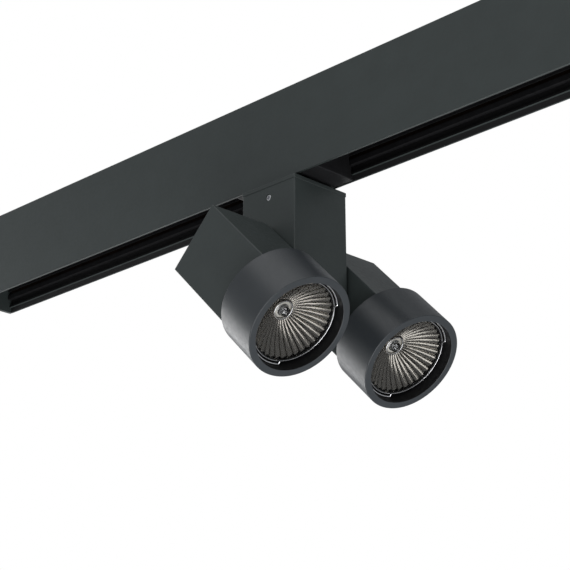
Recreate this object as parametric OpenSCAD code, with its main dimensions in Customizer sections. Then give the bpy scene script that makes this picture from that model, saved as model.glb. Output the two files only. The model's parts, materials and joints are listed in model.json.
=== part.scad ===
// Twin-head spotlight on a deep lighting rail.
// The rail runs along X and hangs from the ceiling: the centre of its top face is the origin.
// A sliding adaptor carries a square column, and two tilting heads are hinged on its sides.

/* [Rail] */
// Length of the rail section
rail_len = 600; // [500:10:1200]
// Outer width of the rail
rail_w = 34; // [34:0.5:38]
// Outer height of the rail
rail_h = 58; // [56:1:70]
// Thickness of the rail's side walls
rail_wall = 1.6; // [1.4:0.1:1.8]
// Distance between the two ceiling screws
ceiling_screw_pitch = 400; // [300:10:400]

/* [Column] */
// Side of the square column's cap
cap_w = 44; // [43:0.5:45]
// Height of the column with its cap and base
column_h = 80; // [78:1:90]
// Gap between the rail and the column's cap
column_gap = 2.5; // [2.5:0.1:4]
// Height of the tilt axis below the column's top
pivot_drop = 56.5; // [56:0.5:58]

/* [Heads] */
// Side of the square rear part of a head
block_w = 44; // [43:0.5:44]
// Outer diameter of the round front part of a head
barrel_d = 63; // [63:0.5:66]
// From the tilt axis back to the head's rear face
block_rear = 20; // [18:0.5:20]
// From the tilt axis forward to the barrel's rear face
block_front = 38; // [37:0.5:39]
// Length of the barrel
barrel_len = 31.5; // [31:0.5:33]
// From the column's middle to a head's middle
head_offset = 45.5; // [45.5:0.1:46]
// How far the heads point below the horizontal at rest
rest_tilt = 45.5; // [0:0.5:90]

/* [Lamp] */
// Diameter of the reflector lamp's rim
lamp_d = 50.7; // [50:0.1:50.8]
// How far the lamp's glass lies behind the barrel's front face
lamp_recess = 6; // [5.5:0.5:6]

/* [Hidden] */

$fn = 64;
CUT = 1;                 // extra length of a cutting shape past a face
FRONT = -1;              // side of the head in front of the column
REAR = 1;                // side of the head behind the column

ANTHRACITE = [0.20, 0.22, 0.23];
DARK_PLASTIC = [0.10, 0.10, 0.11];
STEEL = [0.62, 0.63, 0.65];
BRASS = [0.80, 0.66, 0.32];
COPPER = [0.78, 0.45, 0.28];
CERAMIC = [0.90, 0.89, 0.84];
GLASS = [0.80, 0.86, 0.90, 0.4];
SILVER = [0.78, 0.76, 0.72];
LEAD_RED = [0.55, 0.16, 0.12];

// Screws: shank radius, shank length, head radius, head height
end_screw = [1.2, 12, 2.4, 1.4];
cover_screw = [1.2, 5, 2.3, 1.1];
base_screw = [1.45, 7, 2.7, 1.3];
block_screw = [1.2, 9, 2.3, 1.2];
tap_r = 1.25;                                // threaded hole, drawn as a plain one
screw_gap = 0.3;                             // around a screw in a clearance hole
fit = 0.05;                                  // around a part pushed into a hole

// Rail section
rail_inner = rail_w - 2 * rail_wall;         // width between the side walls
channel_h = 32;                              // height of the open channel
web_t = 1.6;                                 // web above the channel
top_t = 2;                                   // top plate against the ceiling
lip_h = 3.5;                                 // from the mouth up to the ledges
ledge_h = 1.2;
ledge_d = 1.6;
port_r = 2.6;                                // screw ports for the end caps
port_hole_r = tap_r;
port_y = rail_inner / 2 - 2.4;
port_z = [-6.5, -19];
mouth_z = -rail_h;                           // plane of the rail's mouth
ledge_top = mouth_z + lip_h + ledge_h;
ceiling_hole_r = 2.25;
driver_hole_r = 5;                           // lets a screwdriver reach a ceiling screw
groove_h = 4.3;                              // side groove between the ledge and the liner

// Liner and conductors
liner_bottom = ledge_top + groove_h;
liner_top = mouth_z + channel_h - 0.1;
liner_half = rail_inner / 2 - 0.1;
liner_wall = 3.2;
liner_roof = 2;
liner_in = liner_half - liner_wall;          // half width between the liner's walls
bar_slot = [1.8, 2.6];                       // depth and height of a conductor's slot
bar_size = [1.2, 2.2];
bar_z = [liner_bottom + 4.5, liner_bottom + 12.5];

// End caps
end_cap_t = 3;
inlet_r = 4;
inlet_z = -13;
end_x = rail_len / 2;
terminal_len = 46;

// Adaptor
adaptor_half = 34;
cover_half_w = rail_inner / 2 - 0.4;
cover_t = 2.8;
cover_top = mouth_z + cover_t;
throat_half = rail_inner / 2 - ledge_d - 0.5;
housing_half = liner_in - 0.5;
housing_top = liner_top - liner_roof - 2.9;
floor_top = cover_top + 4.2;
shell_t = 2;
hook_reach = rail_inner / 2 - 0.5;
cam_pos = [-26, -5];
cam_r = 3;
cam_head_r = 4.5;
cam_reach = 9.9;
cam_z = [ledge_top + 0.5, liner_bottom - 0.7];
running = 0.06;                              // radial clearance of a turning shaft
cover_screw_x = [-14, 14];
cover_recess = 1.2;                          // sinks the heads of the cover's screws
finger_x = [-10, 18];
finger_len = 9;

// Stem, collar and column
stem_r = 5;
stem_bore_r = 3.2;
stem_flange_r = 8;
stem_flange_t = 1.5;
cap_top = mouth_z - column_gap;
cap_t = 2.5;
shell_w = cap_w - 0.6;
shell_wall = 2;
shell_top = cap_top - cap_t;
column_bottom = cap_top - column_h;
base_t = 2;
shell_bottom = column_bottom + base_t;
shell_corner_r = 1;
shell_in = shell_w / 2 - shell_wall;         // half width inside the shell
collar_r = 10;
collar_h = 12;
collar_bottom = shell_top - collar_h;
washer_t = 1;
nut_h = 5;
nut_af = 14;
nut_r = nut_af / sqrt(3);
stem_bottom = collar_bottom - 0.3 - washer_t - nut_h - 0.7;
set_screw_r = 2;
set_screw_z = cap_top - 9;
base_screw_x = 15;

// Pivots
pivot_z = cap_top - pivot_drop;
block_half = block_w / 2;
block_wall = 2.2;
inner_face = head_offset - block_half;       // head's inner face, from the column's middle
bracket_t = 2;
bracket_face = shell_in - 0.1 - bracket_t;   // bracket's inward face
bracket_half_x = 14;
bracket_bottom = shell_bottom + 0.1;
bracket_top = pivot_z + 15;
tube_end = 11;
spring_t = 1.2;
pivot_nut_t = 4.5;
block_term = [12, 28, 12];                   // terminal block
term_z = pivot_z + 17;

// Lamp, along the head's own axis
barrel_r = barrel_d / 2;
barrel_front = block_front + barrel_len;
barrel_back_t = 2.5;
barrel_bore_r = 27.3;
barrel_skin_r = barrel_r - 3;
shoulder_r = 24;
shoulder_t = 3;
lamp_front = barrel_front - lamp_recess;
lamp_rim_t = 3.5;
shoulder_x = lamp_front - lamp_rim_t;
lamp_r = lamp_d / 2;
glass_r = lamp_r - 0.9;
glass_t = 2;
neck_r = 8;
neck_bore_r = 5.3;
neck_x = [shoulder_x - 28, shoulder_x - 10]; // neck, from the lamp's base to the dish
reflector_t = 1;                             // wall of the dish, along the beam
dish_r = lamp_r - 1.5;                       // outside of the dish where it meets the rim
dish_steps = 14;
dish_k = (shoulder_x - neck_x[1]) / (pow(dish_r, 2) - pow(neck_r, 2));
capsule_r = 3.2;
capsule_tip = neck_x[1] + 6;
lamp_base_r = 10;
lamp_base_x = [neck_x[0] - 16, neck_x[0]];
pin_r = 2.5;
pin_y = 5;
pin_len = 7;
holder_r = 13;
holder_x = [1, lamp_base_x[0] - 0.1];
clip_wire_r = 0.55;
clip_r = barrel_bore_r - clip_wire_r - 0.1;
clip_x = lamp_front + 0.1 + clip_wire_r;
clip_deg = [129, 243];                       // where the clip's wire starts, and the angle it spans
clip_end_r = lamp_r - 0.6;                   // its ends reach in over the lamp's rim
cover_inset = 0.2;
boss_r = 3.2;
boss_pos = block_half - block_wall - boss_r - 0.4;
boss_len = 10;
cover_plate_t = 2;
lead_r = 0.9;
lead_z = 3;                                  // from a head's axis to each lamp lead

// ---------- shared shapes ----------

// Places a section drawn in (Y, Z) along X, from x0 to x1.
module along_x(x0, x1) {
    translate([x0, 0, 0]) rotate([90, 0, 90]) linear_extrude(height = x1 - x0) children();
}

// A rectangle given by its two corners.
module rect(low, high) {
    translate(low) square(high - low);
}

// A box given by its two corners.
module box(low, high) {
    translate(low) cube(high - low);
}

// A box centred on Z, from z0 to z1, with its four upright corners rounded.
module rounded_box(w, z0, z1, r) {
    half = w / 2 - r;
    translate([0, 0, z0]) linear_extrude(height = z1 - z0) {
        square([w, w - 2 * r], center = true);
        square([w - 2 * r, w], center = true);
        for (x = [-half, half], y = [-half, half]) translate([x, y]) circle(r = r);
    }
}

// A ring on the Z axis between two heights.
module ring_z(z0, z1, ro, ri) {
    translate([0, 0, z0]) difference() {
        cylinder(h = z1 - z0, r = ro);
        translate([0, 0, -CUT]) cylinder(h = z1 - z0 + 2 * CUT, r = ri);
    }
}

// A cylinder along X, from x0 to x1.
module rod_x(x0, x1, r) {
    translate([x0, 0, 0]) rotate([0, 90, 0]) cylinder(h = x1 - x0, r = r);
}

// A cylinder along Y, from y0 to y1.
module rod_y(y0, y1, r) {
    translate([0, min(y0, y1), 0]) rotate([-90, 0, 0]) cylinder(h = abs(y1 - y0), r = r);
}

// A ring along Y, from y0 to y1.
module ring_y(y0, y1, ro, ri) {
    low = min(y0, y1);
    high = max(y0, y1);
    difference() {
        rod_y(low, high, ro);
        rod_y(low - CUT, high + CUT, ri);
    }
}

// An insulated wire through a list of points.
module wire(points) {
    for (i = [0 : len(points) - 2]) hull() {
        translate(points[i]) sphere(r = lead_r, $fn = 8);
        translate(points[i + 1]) sphere(r = lead_r, $fn = 8);
    }
}

// A pan-head screw standing on z = 0, with its head below and a cross recess.
// Its size is [shank radius, shank length, head radius, head height].
module pan_screw(size) {
    shank_r = size[0];
    shank_len = size[1];
    head_r = size[2];
    head_t = size[3];
    difference() {
        union() {
            cylinder(h = shank_len, r = shank_r);
            translate([0, 0, -head_t]) cylinder(h = head_t, r = head_r);
        }
        for (turn = [0, 90]) rotate([0, 0, turn])
            translate([-head_r * 0.6, -head_r * 0.12, -head_t - CUT])
                cube([head_r * 1.2, head_r * 0.24, CUT + head_t * 0.5]);
    }
}

// ---------- rail ----------

module rail_section() {
    half = rail_inner / 2;
    difference() {
        rect([-rail_w / 2, mouth_z], [rail_w / 2, 0]);
        rect([-half, mouth_z - CUT], [half, -top_t]);
    }
    for (side = [-1, 1]) {
        ledge_y = side * (half - ledge_d / 2);
        translate([ledge_y, ledge_top - ledge_h / 2]) square([ledge_d, ledge_h], center = true);
        for (z = port_z) difference() {
            translate([side * port_y, z]) circle(r = port_r);
            translate([side * port_y, z]) circle(r = port_hole_r);
            translate([side * half, z - port_r]) mirror([side > 0 ? 0 : 1, 0])
                square([port_r, 2 * port_r]);
        }
    }
}

module rail_profile() {
    color(ANTHRACITE) difference() {
        along_x(-end_x, end_x) rail_section();
        for (x = [-1, 1] * ceiling_screw_pitch / 2)
            translate([x, 0, -top_t - CUT]) cylinder(h = top_t + 2 * CUT, r = ceiling_hole_r);
    }
}

module rail_web() {
    low = mouth_z + channel_h;
    color(STEEL) difference() {
        along_x(-end_x + 0.2, end_x - 0.2) rect([-liner_half, low], [liner_half, low + web_t]);
        for (x = [-1, 1] * ceiling_screw_pitch / 2)
            translate([x, 0, low - CUT]) cylinder(h = web_t + 2 * CUT, r = driver_hole_r);
    }
}

module track_liner() {
    color(DARK_PLASTIC) difference() {
        along_x(-end_x + 0.2, end_x - 0.2) difference() {
            rect([-liner_half, liner_bottom], [liner_half, liner_top]);
            rect([-liner_in, liner_bottom - CUT], [liner_in, liner_top - liner_roof]);
            for (z = bar_z) translate([0, z])
                square([2 * (liner_in + bar_slot[0]), bar_slot[1]], center = true);
        }
        for (x = [-1, 1] * ceiling_screw_pitch / 2)
            translate([x, 0, liner_top - liner_roof - CUT])
                cylinder(h = liner_roof + 2 * CUT, r = driver_hole_r);
    }
}

module conductors(side) {
    y = side * (liner_in + bar_slot[0] - bar_size[0] / 2 - 0.02);
    color(COPPER) along_x(-end_x + 4, end_x - 4)
        for (z = bar_z) translate([y, z]) square(bar_size, center = true);
}

module front_conductors() {
    conductors(FRONT);
}

module rear_conductors() {
    conductors(REAR);
}

// The end cap at the rail's +X end, with its four screw holes.
module end_cap(inlet) {
    along_x(end_x, end_x + end_cap_t) difference() {
        rect([-rail_w / 2, mouth_z], [rail_w / 2, 0]);
        for (y = [-port_y, port_y], z = port_z) translate([y, z]) circle(r = port_hole_r + screw_gap);
        if (inlet) translate([0, inlet_z]) circle(r = inlet_r);
    }
}

module feed_end_cap() {
    color(ANTHRACITE) end_cap(true);
}

module blind_end_cap() {
    color(ANTHRACITE) mirror([1, 0, 0]) end_cap(false);
}

module end_cap_screws() {
    color(STEEL) for (side = [-1, 1], y = [-port_y, port_y], z = port_z)
        translate([side * (end_x + end_cap_t), y, z]) rotate([0, side * -90, 0])
            pan_screw(end_screw);
}

module feed_terminal() {
    x0 = end_x - 2 - terminal_len;
    screw_x = [for (k = [1 : 3]) x0 + 12 * k];
    color(DARK_PLASTIC) difference() {
        union() {
            box([x0, -housing_half, liner_bottom - 2], [x0 + terminal_len, housing_half, housing_top]);
            box([x0, -throat_half, cover_top - 0.5], [x0 + terminal_len, throat_half, liner_bottom - 1]);
        }
        for (x = screw_x) translate([x, 0, cover_top - CUT]) cylinder(h = 6, r = 2.4);
    }
    color(BRASS) for (x = screw_x) translate([x, 0, cover_top + 2]) cylinder(h = 3, r = 2.2);
}

// ---------- adaptor ----------

module adaptor_housing() {
    color(DARK_PLASTIC) difference() {
        union() {
            box([-adaptor_half, -throat_half, cover_top], [adaptor_half, throat_half, liner_bottom - 0.5]);
            box([-adaptor_half, -housing_half, cover_top + 1], [adaptor_half, housing_half, housing_top]);
            box([-adaptor_half + 4, 0, ledge_top + 0.4], [adaptor_half - 4, hook_reach, liner_bottom - 0.5]);
        }
        box([-adaptor_half + shell_t, -housing_half + shell_t, floor_top],
            [adaptor_half - shell_t, housing_half - shell_t, housing_top - shell_t]);
        translate([0, 0, cover_top - CUT]) cylinder(h = 10, r = stem_r + fit);
        translate([cam_pos[0], cam_pos[1], 0]) {
            translate([0, 0, cover_top - CUT]) cylinder(h = 10, r = cam_r + running);
            translate([0, 0, cam_z[0] - 0.4]) cylinder(h = cam_z[1] - cam_z[0] + 0.8, r = cam_reach + 0.4);
        }
        for (x = cover_screw_x) translate([x, 0, cover_top - CUT])
            cylinder(h = CUT + cover_screw[1], r = tap_r);
        for (x = finger_x, z = bar_z)
            box([x - 0.1, -housing_half - CUT, z - 0.9], [x + finger_len + 0.1, housing_half + CUT, z + 0.9]);
    }
}

module adaptor_cover() {
    color(DARK_PLASTIC) difference() {
        box([-adaptor_half, -cover_half_w, mouth_z], [adaptor_half, cover_half_w, cover_top]);
        translate([0, 0, mouth_z - CUT]) cylinder(h = cover_t + 2 * CUT, r = stem_r + fit);
        translate([cam_pos[0], cam_pos[1], mouth_z - CUT]) {
            cylinder(h = cover_t + 2 * CUT, r = cam_r + running);
            cylinder(h = CUT + 1.6, r = cam_head_r + 0.2);
        }
        for (x = cover_screw_x) translate([x, 0, mouth_z - CUT]) {
            cylinder(h = cover_t + 2 * CUT, r = cover_screw[0] + screw_gap);
            cylinder(h = CUT + cover_recess, r = cover_screw[2] + 0.2);
        }
    }
}

module cover_screws() {
    color(STEEL) for (x = cover_screw_x) translate([x, 0, mouth_z + cover_recess]) pan_screw(cover_screw);
}

module contact_fingers() {
    reach = liner_in + bar_slot[0] - bar_size[0] - 0.35;
    color(BRASS) for (x = finger_x, z = bar_z, side = [-1, 1]) {
        y = [side * reach, side * (housing_half - 5)];
        box([x, min(y), z - 0.7], [x + finger_len, max(y), z + 0.7]);
    }
}

module swivel_stem() {
    color(STEEL) {
        ring_z(stem_bottom, floor_top + stem_flange_t, stem_r, stem_bore_r);
        ring_z(floor_top, floor_top + stem_flange_t, stem_flange_r, stem_bore_r);
    }
}

module stem_spacer() {
    color(DARK_PLASTIC) ring_z(cap_top + 0.3, mouth_z, 9, stem_r + fit);
}

module thrust_washer() {
    color(STEEL) ring_z(collar_bottom - 0.3 - washer_t, collar_bottom - 0.3, 8.5, stem_r + fit);
}

module stem_nut() {
    top = collar_bottom - 0.3 - washer_t;
    color(STEEL) difference() {
        translate([0, 0, top - nut_h]) cylinder(h = nut_h, r = nut_r, $fn = 6);
        translate([0, 0, top - nut_h - CUT]) cylinder(h = nut_h + 2 * CUT, r = stem_r + fit);
    }
}

module lock_cam() {
    slot_w = 1.2;
    color(STEEL) translate([cam_pos[0], cam_pos[1], 0]) difference() {
        union() {
            translate([0, 0, mouth_z]) cylinder(h = cam_z[1] - mouth_z, r = cam_r);
            translate([0, 0, mouth_z]) cylinder(h = 1.4, r = cam_head_r);
            translate([0, 0, cam_z[0]]) linear_extrude(height = cam_z[1] - cam_z[0]) {
                circle(r = 4);
                intersection() {
                    circle(r = cam_reach);
                    rect([-3.5, -cam_reach], [3.5, 0]);
                }
            }
        }
        box([-cam_head_r, -slot_w / 2, mouth_z - CUT], [cam_head_r, slot_w / 2, mouth_z + 0.8]);
    }
}

// ---------- column ----------

module column_shell() {
    color(ANTHRACITE) difference() {
        rounded_box(shell_w, shell_bottom, shell_top, shell_corner_r);
        translate([0, 0, shell_bottom - CUT]) linear_extrude(height = shell_top - shell_bottom + 2 * CUT)
            square(2 * shell_in, center = true);
        translate([0, 0, pivot_z]) rod_y(-shell_w, shell_w, stem_r + running);
        translate([0, 0, set_screw_z]) rod_y(-shell_w, 0, set_screw_r + fit);
    }
}

module column_cap() {
    color(ANTHRACITE) difference() {
        rounded_box(cap_w, shell_top, cap_top, shell_corner_r);
        translate([0, 0, shell_top - CUT]) cylinder(h = cap_t + 2 * CUT, r = stem_r + running);
    }
}

module column_base() {
    color(ANTHRACITE) difference() {
        rounded_box(shell_w, column_bottom, shell_bottom, shell_corner_r);
        for (x = [-1, 1] * base_screw_x) translate([x, 0, column_bottom - CUT])
            cylinder(h = base_t + 2 * CUT, r = base_screw[0] + screw_gap);
    }
}

module base_screws() {
    color(STEEL) for (x = [-1, 1] * base_screw_x) translate([x, 0, column_bottom]) pan_screw(base_screw);
}

module swivel_collar() {
    color(BRASS) difference() {
        ring_z(collar_bottom, shell_top, collar_r, stem_r + running);
        translate([0, 0, set_screw_z]) rod_y(-collar_r - CUT, 0, set_screw_r + fit);
    }
}

module swivel_set_screw() {
    color(STEEL) translate([0, 0, set_screw_z]) difference() {
        rod_y(-shell_w / 2 + 0.3, -stem_r - 0.4, set_screw_r);
        translate([0, -shell_w / 2 - CUT, 0]) rotate([-90, 0, 0]) cylinder(h = CUT + 2.3, r = 1.2, $fn = 6);
    }
}

module pivot_bracket() {
    reach = bracket_face + bracket_t;
    bridge_t = 5;
    color(STEEL) difference() {
        union() {
            for (side = [-1, 1]) {
                y = [side * bracket_face, side * reach];
                box([-bracket_half_x, min(y), bracket_bottom], [bracket_half_x, max(y), bracket_top]);
            }
            box([-bracket_half_x - 4, -bracket_face, bracket_bottom],
                [bracket_half_x + 4, bracket_face, bracket_bottom + bridge_t - 3]);
        }
        translate([0, 0, pivot_z]) rod_y(-shell_w, shell_w, stem_r + running);
        for (x = [-1, 1] * base_screw_x)
            translate([x, 0, bracket_bottom - CUT]) cylinder(h = bridge_t, r = base_screw[0] + fit);
    }
}

module terminal_block() {
    x0 = -shell_in + 0.1;
    color(CERAMIC) difference() {
        box([x0, -block_term[1] / 2, term_z], [x0 + block_term[0], block_term[1] / 2, term_z + block_term[2]]);
        for (y = [-9, 0, 9]) translate([0, y, term_z + block_term[2] / 2])
            rod_x(x0 + block_term[0] - 3, x0 + block_term[0] + CUT, 1.6);
    }
    color(BRASS) for (y = [-9, 0, 9]) translate([0, y, term_z + block_term[2] / 2])
        rod_x(x0 + block_term[0] - 3, x0 + block_term[0] - 1, 1.5);
}

module column_leads() {
    block_x = -shell_in + 0.1 + block_term[0] / 2;
    block_top = term_z + block_term[2];
    color(LEAD_RED) {
        wire([[0, 0, stem_bottom - 0.5], [-2, 0, stem_bottom - 2], [block_x, 0, block_top + lead_r]]);
        for (side = [-1, 1])
            wire([[block_x, side * 5, term_z - lead_r], [block_x, side * 5, term_z - 3],
                  [-2, side * 6, pivot_z + 3], [0, side * (tube_end - 0.3), pivot_z]]);
    }
}

// ---------- heads ----------

// Puts a head's own frame in place: X along the beam, origin on the tilt axis.
module in_head(side) {
    translate([0, side * head_offset, pivot_z]) rotate([0, rest_tilt, 0]) children();
}

// Puts a shape drawn on the column's Y axis at the tilt axis, turned with the head.
module on_pivot() {
    translate([0, 0, pivot_z]) rotate([0, rest_tilt, 0]) children();
}

module head_block(side) {
    cavity = block_half - block_wall;
    gusset = cavity - 2;                     // fills the corner behind each screw boss
    gusset_half = 2.1;
    boss_x = [-block_rear + cover_plate_t, -block_rear + cover_plate_t + boss_len];
    color(ANTHRACITE) in_head(side) difference() {
        box([-block_rear, -block_half, -block_half], [block_front, block_half, block_half]);
        difference() {
            box([-block_rear - CUT, -cavity, -cavity], [block_front + CUT, cavity, cavity]);
            for (y = [-boss_pos, boss_pos], z = [-boss_pos, boss_pos]) translate([0, y, z])
                rod_x(boss_x[0], boss_x[1], boss_r);
            for (y = [-1, 1], z = [-1, 1]) translate([0, y * gusset, z * gusset])
                box([boss_x[0], -gusset_half, -gusset_half], [boss_x[1], gusset_half, gusset_half]);
        }
        for (y = [-boss_pos, boss_pos], z = [-boss_pos, boss_pos]) translate([0, y, z])
            rod_x(-block_rear - CUT, boss_x[1] - 1, tap_r);
        rod_y(-side * (block_half - block_wall - CUT), -side * (block_half + CUT), stem_r + fit);
    }
}

module head_barrel(side) {
    color(ANTHRACITE) in_head(side) rotate([0, 90, 0]) rotate_extrude() polygon([
        [19, block_front], [barrel_r, block_front], [barrel_r, barrel_front], [barrel_bore_r, barrel_front],
        [barrel_bore_r, shoulder_x - 0.1], [shoulder_r, shoulder_x - 0.1],
        [shoulder_r, shoulder_x - shoulder_t], [barrel_skin_r, shoulder_x - shoulder_t],
        [barrel_skin_r, block_front + barrel_back_t], [19, block_front + barrel_back_t]
    ]);
}

module head_rear_cover(side) {
    half = block_half - block_wall - cover_inset;
    slot = [18, 1.6];
    color(ANTHRACITE) in_head(side) difference() {
        box([-block_rear, -half, -half], [-block_rear + cover_plate_t, half, half]);
        for (y = [-boss_pos, boss_pos], z = [-boss_pos, boss_pos]) translate([0, y, z])
            rod_x(-block_rear - CUT, -block_rear + cover_plate_t + CUT, block_screw[0] + 0.4);
        for (row = [-2 : 2]) translate([-block_rear - CUT, -slot[0] / 2, row * 4 - slot[1] / 2])
            cube([cover_plate_t + 2 * CUT, slot[0], slot[1]]);
    }
}

module head_cover_screws(side) {
    color(STEEL) in_head(side) for (y = [-boss_pos, boss_pos], z = [-boss_pos, boss_pos])
        translate([-block_rear, y, z]) rotate([0, 90, 0]) pan_screw(block_screw);
}

module head_pivot_tube(side) {
    wall_in = inner_face + block_wall;
    color(STEEL) on_pivot() {
        ring_y(side * tube_end, side * (wall_in + 1.5), stem_r, stem_bore_r);
        ring_y(side * wall_in, side * (wall_in + 1.5), stem_flange_r, stem_bore_r);
    }
}

module head_pivot_washer(side) {
    color(DARK_PLASTIC) on_pivot()
        ring_y(side * (shell_w / 2 + 0.3), side * inner_face, 9, stem_r + fit);
}

module head_spring_washer(side) {
    outer = bracket_face - 0.3;
    color(STEEL) on_pivot() ring_y(side * (outer - spring_t), side * outer, 8, stem_r + fit);
}

module head_pivot_nut(side) {
    outer = bracket_face - 0.3 - spring_t;
    low = side > 0 ? outer - pivot_nut_t : -outer;
    color(STEEL) on_pivot() difference() {
        translate([0, low, 0]) rotate([-90, 0, 0]) cylinder(h = pivot_nut_t, r = nut_r, $fn = 6);
        rod_y(low - CUT, low + pivot_nut_t + CUT, stem_r + fit);
    }
}

module head_lampholder(side) {
    color(CERAMIC) in_head(side) difference() {
        rod_x(holder_x[0], holder_x[1], holder_r);
        for (y = [-pin_y, pin_y]) translate([0, y, 0])
            rod_x(holder_x[1] - pin_len - 0.5, holder_x[1] + CUT, pin_r + 0.2);
    }
}

module head_holder_bracket(side) {
    reach = block_half - block_wall - 0.1;
    plate = [-0.6, 0.9];
    color(STEEL) in_head(side) difference() {
        union() {
            box([plate[0], -11, -reach], [plate[1], 11, reach]);
            for (end = [-1, 1]) {
                z = [end * reach, end * (reach - 1.5)];
                box([plate[0], -11, min(z)], [10, 11, max(z)]);
            }
        }
        for (z = [-lead_z, lead_z]) translate([0, 0, z]) rod_x(plate[0] - CUT, plate[1] + CUT, 1.4);
    }
}

module head_lamp_base(side) {
    color(CERAMIC) in_head(side) {
        rod_x(lamp_base_x[0], lamp_base_x[1], lamp_base_r);
        for (y = [-pin_y, pin_y]) translate([0, y, 0]) rod_x(lamp_base_x[0] - pin_len, lamp_base_x[0], pin_r);
    }
}

// Outline of the reflector's dish: x grows with the square of the radius.
function dish_x(r) = neck_x[1] + dish_k * (r * r - neck_r * neck_r);
function dish(r0, r1, shift) = [
    for (i = [0 : dish_steps]) let (r = r0 + (r1 - r0) * i / dish_steps) [r, dish_x(r) + shift]
];

module head_reflector(side) {
    seat_x = lamp_front - glass_t - 0.1;
    inner_r = sqrt((seat_x - reflector_t - neck_x[1]) / dish_k + neck_r * neck_r);
    rim = [[lamp_r, shoulder_x], [lamp_r, lamp_front], [glass_r, lamp_front], [glass_r, seat_x]];
    color(SILVER) in_head(side) rotate([0, 90, 0]) rotate_extrude() polygon(concat(
        [[neck_bore_r, neck_x[0]], [neck_r, neck_x[0]]],
        dish(neck_r, dish_r, 0), rim, dish(inner_r, neck_bore_r, reflector_t)
    ));
}

module head_lamp_glass(side) {
    color(GLASS) in_head(side) rod_x(lamp_front - glass_t, lamp_front - 0.2, glass_r - fit);
}

module head_capsule(side) {
    dome_x = capsule_tip - capsule_r;
    color(GLASS) in_head(side) {
        rod_x(lamp_base_x[1], dome_x, capsule_r);
        translate([dome_x, 0, 0]) sphere(r = capsule_r);
    }
}

module head_clip_ring(side) {
    color(STEEL) in_head(side) translate([clip_x, 0, 0]) rotate([0, 90, 0]) {
        rotate([0, 0, clip_deg[0]]) rotate_extrude(angle = clip_deg[1])
            translate([clip_r, 0]) circle(r = clip_wire_r, $fn = 24);
        for (turn = [clip_deg[0], clip_deg[0] + clip_deg[1]]) rotate([0, 0, turn])
            translate([clip_end_r, 0, 0]) rotate([0, 90, 0])
                cylinder(h = clip_r - clip_end_r, r = clip_wire_r, $fn = 24);
    }
}

module head_lamp_leads(side) {
    flange_y = -side * (block_half - block_wall - 2);
    color(LEAD_RED) in_head(side) for (k = [-1, 1])
        wire([[-1.7, 0, lead_z * k], [-5, 0, lead_z * k],
              [-6, flange_y * 0.8, lead_z * k / 2], [-1, flange_y, lead_z * k / 2]]);
}

// ---------- one named piece for each head ----------

module front_block() { head_block(FRONT); }
module front_barrel() { head_barrel(FRONT); }
module front_rear_cover() { head_rear_cover(FRONT); }
module front_cover_screws() { head_cover_screws(FRONT); }
module front_pivot_tube() { head_pivot_tube(FRONT); }
module front_pivot_washer() { head_pivot_washer(FRONT); }
module front_spring_washer() { head_spring_washer(FRONT); }
module front_pivot_nut() { head_pivot_nut(FRONT); }
module front_lampholder() { head_lampholder(FRONT); }
module front_holder_bracket() { head_holder_bracket(FRONT); }
module front_lamp_base() { head_lamp_base(FRONT); }
module front_reflector() { head_reflector(FRONT); }
module front_lamp_glass() { head_lamp_glass(FRONT); }
module front_capsule() { head_capsule(FRONT); }
module front_clip_ring() { head_clip_ring(FRONT); }
module front_lamp_leads() { head_lamp_leads(FRONT); }

module rear_block() { head_block(REAR); }
module rear_barrel() { head_barrel(REAR); }
module rear_rear_cover() { head_rear_cover(REAR); }
module rear_cover_screws() { head_cover_screws(REAR); }
module rear_pivot_tube() { head_pivot_tube(REAR); }
module rear_pivot_washer() { head_pivot_washer(REAR); }
module rear_spring_washer() { head_spring_washer(REAR); }
module rear_pivot_nut() { head_pivot_nut(REAR); }
module rear_lampholder() { head_lampholder(REAR); }
module rear_holder_bracket() { head_holder_bracket(REAR); }
module rear_lamp_base() { head_lamp_base(REAR); }
module rear_reflector() { head_reflector(REAR); }
module rear_lamp_glass() { head_lamp_glass(REAR); }
module rear_capsule() { head_capsule(REAR); }
module rear_clip_ring() { head_clip_ring(REAR); }
module rear_lamp_leads() { head_lamp_leads(REAR); }

rail_profile();
rail_web();
track_liner();
front_conductors();
rear_conductors();
feed_end_cap();
blind_end_cap();
end_cap_screws();
feed_terminal();
adaptor_housing();
adaptor_cover();
cover_screws();
contact_fingers();
swivel_stem();
stem_spacer();
thrust_washer();
stem_nut();
lock_cam();
column_shell();
column_cap();
column_base();
base_screws();
swivel_collar();
swivel_set_screw();
pivot_bracket();
terminal_block();
column_leads();
front_block();
front_barrel();
front_rear_cover();
front_cover_screws();
front_pivot_tube();
front_pivot_washer();
front_spring_washer();
front_pivot_nut();
front_lampholder();
front_holder_bracket();
front_lamp_base();
front_reflector();
front_lamp_glass();
front_capsule();
front_clip_ring();
front_lamp_leads();
rear_block();
rear_barrel();
rear_rear_cover();
rear_cover_screws();
rear_pivot_tube();
rear_pivot_washer();
rear_spring_washer();
rear_pivot_nut();
rear_lampholder();
rear_holder_bracket();
rear_lamp_base();
rear_reflector();
rear_lamp_glass();
rear_capsule();
rear_clip_ring();
rear_lamp_leads();
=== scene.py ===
"""Finished pieces, materials and stage for a twin-head track spotlight under a section of its rail."""

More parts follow.
